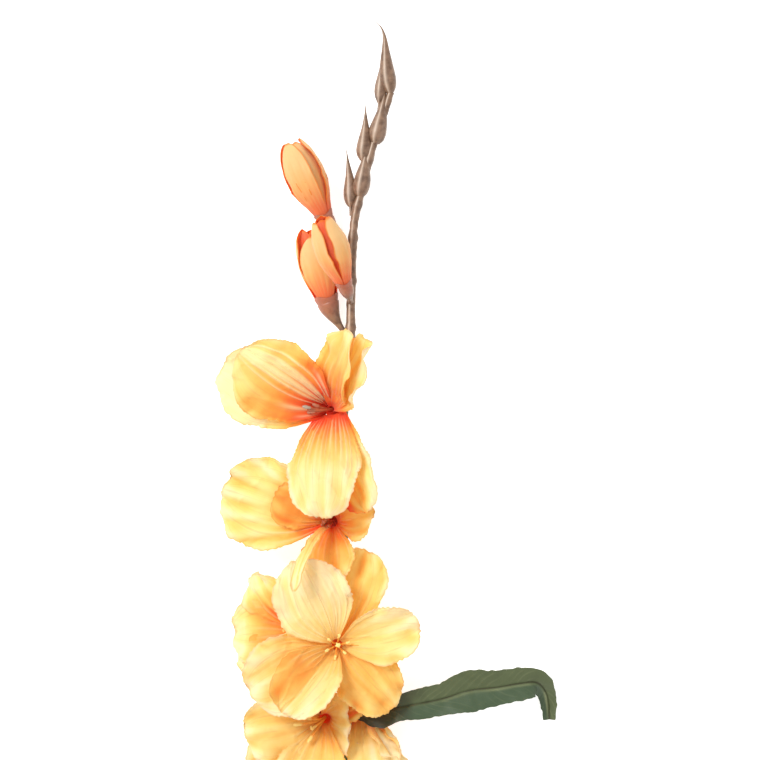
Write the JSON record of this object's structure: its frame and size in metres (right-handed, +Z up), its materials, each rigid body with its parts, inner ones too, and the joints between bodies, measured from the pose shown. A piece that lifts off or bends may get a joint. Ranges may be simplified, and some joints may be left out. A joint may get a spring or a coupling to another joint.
{
  "type": "artificial cut gladiolus",
  "caption": "Cut gladiolus spray lying flat: apricot-yellow ruffled blooms, half-open buds and a brown bud tip on one stem with sword leaves.",
  "frame": {"origin": "on the surface that the flower lies on, under the stem, 25 mm from its cut end", "axes": "+Y along the stem from the cut end to the tip, +Z up, the way the blooms face, +X to the picture's right"},
  "size_m": [0.2365, 0.7506, 0.0856],
  "materials": {
    "petal_fabric": "printed polyester petal fabric, coral at the throat through gold to pale yellow",
    "bud_fabric": "printed polyester petal fabric of the half-open buds, coral to gold",
    "stamen_plastic": "moulded stamens, amber yellow",
    "husk_plastic": "moulded soft plastic, warm grey brown, low sheen, with flash lines",
    "stem_plastic": "soft plastic over wire, olive green, low sheen",
    "leaf_fabric": "printed leaf fabric, dark green with pale veins"
  },
  "bodies": {
    "root": {"stem": "stem_plastic", "bud_tip": "husk_plastic", "bud_1_petals": "bud_fabric", "bud_2_petals": "bud_fabric", "bud_3_petals": "bud_fabric", "bloom_1_petals": "petal_fabric", "bloom_1_stamens": "stamen_plastic", "bloom_1_calyx": "stem_plastic", "bloom_2_petals": "petal_fabric", "bloom_2_stamens": "stamen_plastic", "bloom_2_calyx": "stem_plastic", "bloom_3_petals": "petal_fabric", "bloom_3_stamens": "stamen_plastic", "bloom_3_calyx": "stem_plastic", "bloom_4_petals": "petal_fabric", "bloom_4_stamens": "stamen_plastic", "bloom_4_calyx": "stem_plastic", "bloom_5_petals": "petal_fabric", "bloom_5_stamens": "stamen_plastic", "bloom_5_calyx": "stem_plastic", "bloom_6_petals": "petal_fabric", "bloom_6_stamens": "stamen_plastic", "bloom_6_calyx": "stem_plastic", "leaf_1": "leaf_fabric", "leaf_2": "leaf_fabric"}
  },
  "joints": []
}
